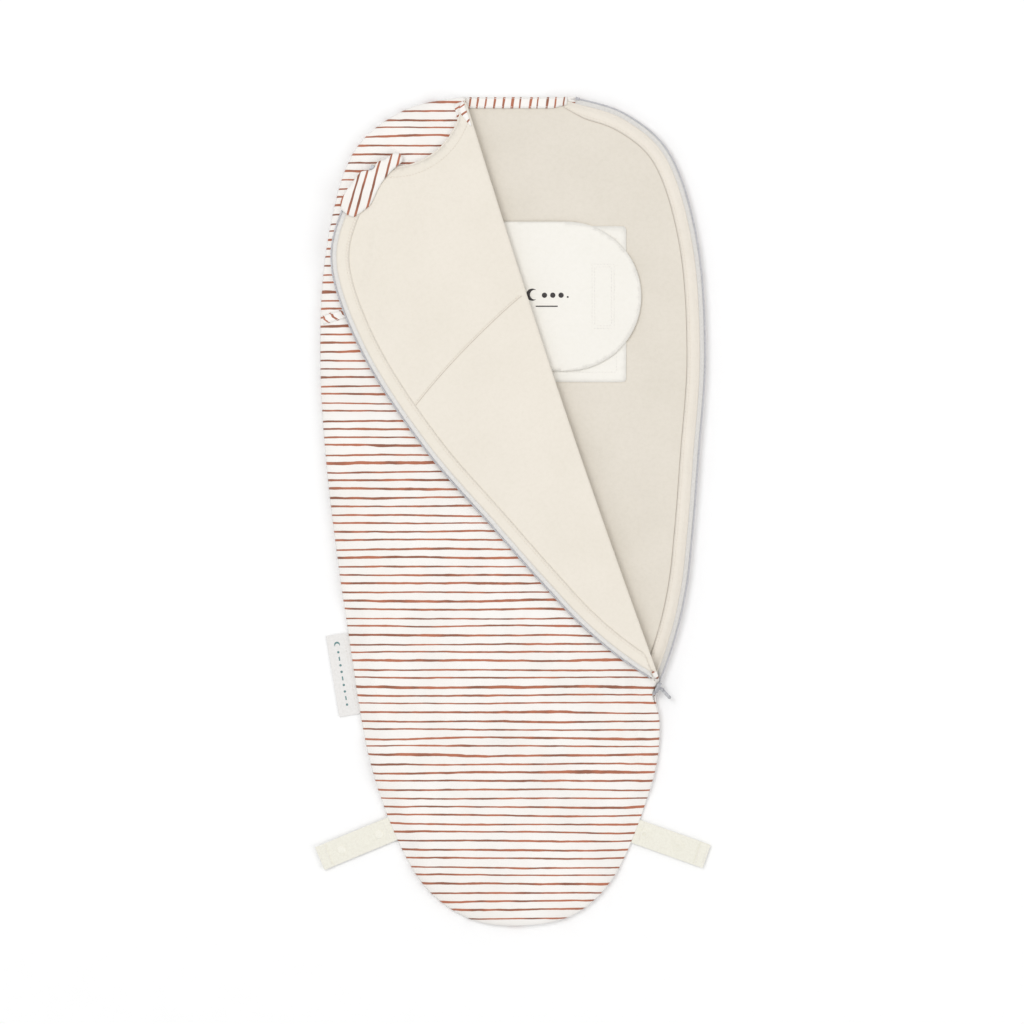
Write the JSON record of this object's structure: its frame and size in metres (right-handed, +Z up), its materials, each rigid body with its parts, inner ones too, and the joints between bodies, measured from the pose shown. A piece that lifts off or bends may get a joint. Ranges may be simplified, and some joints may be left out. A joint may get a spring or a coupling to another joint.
{
  "type": "baby sleeping bag",
  "caption": "Cocoon-shaped zipped baby sleeping bag in two layers of jersey, front folded open over a full-length side zip, with an inner wrap and snap straps at the foot.",
  "frame": {"origin": "on the floor under the middle of the whole outline, straps included", "axes": "+X to the zipped side, +Y along the bag towards the neck, +Z up out of the front"},
  "size_m": [0.3576, 0.7487, 0.0181],
  "materials": {
    "striped_jersey": "warm white cotton jersey with thin hand-drawn terracotta stripes",
    "lining_jersey": "plain cream cotton jersey, matt",
    "facing_jersey": "plain light cream jersey band with a stitched edge",
    "wrap_jersey": "smooth white cotton jersey, double layer",
    "hook_and_loop": "white soft hook-and-loop tape",
    "zip_tape": "woven polyester zip tape, white with a cool tint",
    "zip_coil": "light grey nylon coil",
    "zip_metal": "satin grey die-cast zip hardware",
    "twill_tape": "cream cotton twill tape with a stitched hem",
    "snap_plastic": "cream plastic snap",
    "woven_label": "pale grey woven satin label, plain"
  },
  "bodies": {
    "bag": {"back_outer": "striped_jersey", "back_lining": "lining_jersey", "front_outer": "striped_jersey", "front_lining": "lining_jersey", "chest_band": "striped_jersey", "back_neck_band": "striped_jersey", "back_zip_facing": "facing_jersey", "back_zip_tape": "zip_tape", "back_zip_coil": "zip_coil", "back_zip_stop": "zip_metal", "zip_bottom_stop": "zip_metal", "wrap_base": "wrap_jersey", "wrap_root": "wrap_jersey", "wrap_loop_patch": "hook_and_loop"},
    "flap": {"flap_outer": "striped_jersey", "flap_lining": "lining_jersey", "flap_chest_band": "striped_jersey", "flap_zip_facing": "facing_jersey", "flap_zip_tape": "zip_tape", "flap_zip_coil": "zip_coil", "flap_zip_stop": "zip_metal", "chin_guard": "striped_jersey"},
    "slider": {"slider_body": "zip_metal", "slider_pin": "zip_metal"},
    "pull": {"pull_tab": "zip_metal"},
    "wing": {"wrap_wing": "wrap_jersey", "wrap_hook_patch": "hook_and_loop"},
    "strap_left": {"left_strap": "twill_tape", "left_snap_caps": "snap_plastic", "left_snap_studs": "snap_plastic"},
    "strap_right": {"right_strap": "twill_tape", "right_snap_sockets": "snap_plastic", "right_snap_caps": "snap_plastic"},
    "label": {"side_label": "woven_label"}
  },
  "joints": [
    {"name": "front_fold", "type": "hinge", "parent": "bag", "child": "flap", "pos_m": [-0.045, 0.371, 0.0132], "axis": [-0.3179, 0.9481, 0], "range_deg": [0, 179.8]},
    {"name": "slider_travel", "type": "hinge", "parent": "bag", "child": "slider", "pos_m": [-0.22, -0.008, 0.0092], "axis": [0, 0, 1], "range_deg": [0, 19]},
    {"name": "pull_swing", "type": "hinge", "parent": "slider", "child": "pull", "pos_m": [0.13361, -0.16102, 0.00915], "axis": [0, 0, 1], "range_deg": [-55, 105]},
    {"name": "wing_lift", "type": "hinge", "parent": "bag", "child": "wing", "pos_m": [-0.03552, 0.37418, 0.0046], "axis": [-0.3179, 0.9481, 0], "range_deg": [-85, 0]},
    {"name": "left_strap_fold", "type": "hinge", "parent": "bag", "child": "strap_left", "pos_m": [-0.10978, -0.28762, 0.003], "axis": [-0.3827, 0.9239, 0], "range_deg": [0, 130]},
    {"name": "right_strap_fold", "type": "hinge", "parent": "bag", "child": "strap_right", "pos_m": [0.11078, -0.2901, 0.003], "axis": [-0.3338, -0.9426, 0], "range_deg": [0, 130]},
    {"name": "label_fold", "type": "hinge", "parent": "bag", "child": "label", "pos_m": [-0.14439, -0.14707, 0.0016], "axis": [-0.165, 0.9863, 0], "range_deg": [0, 125]}
  ]
}
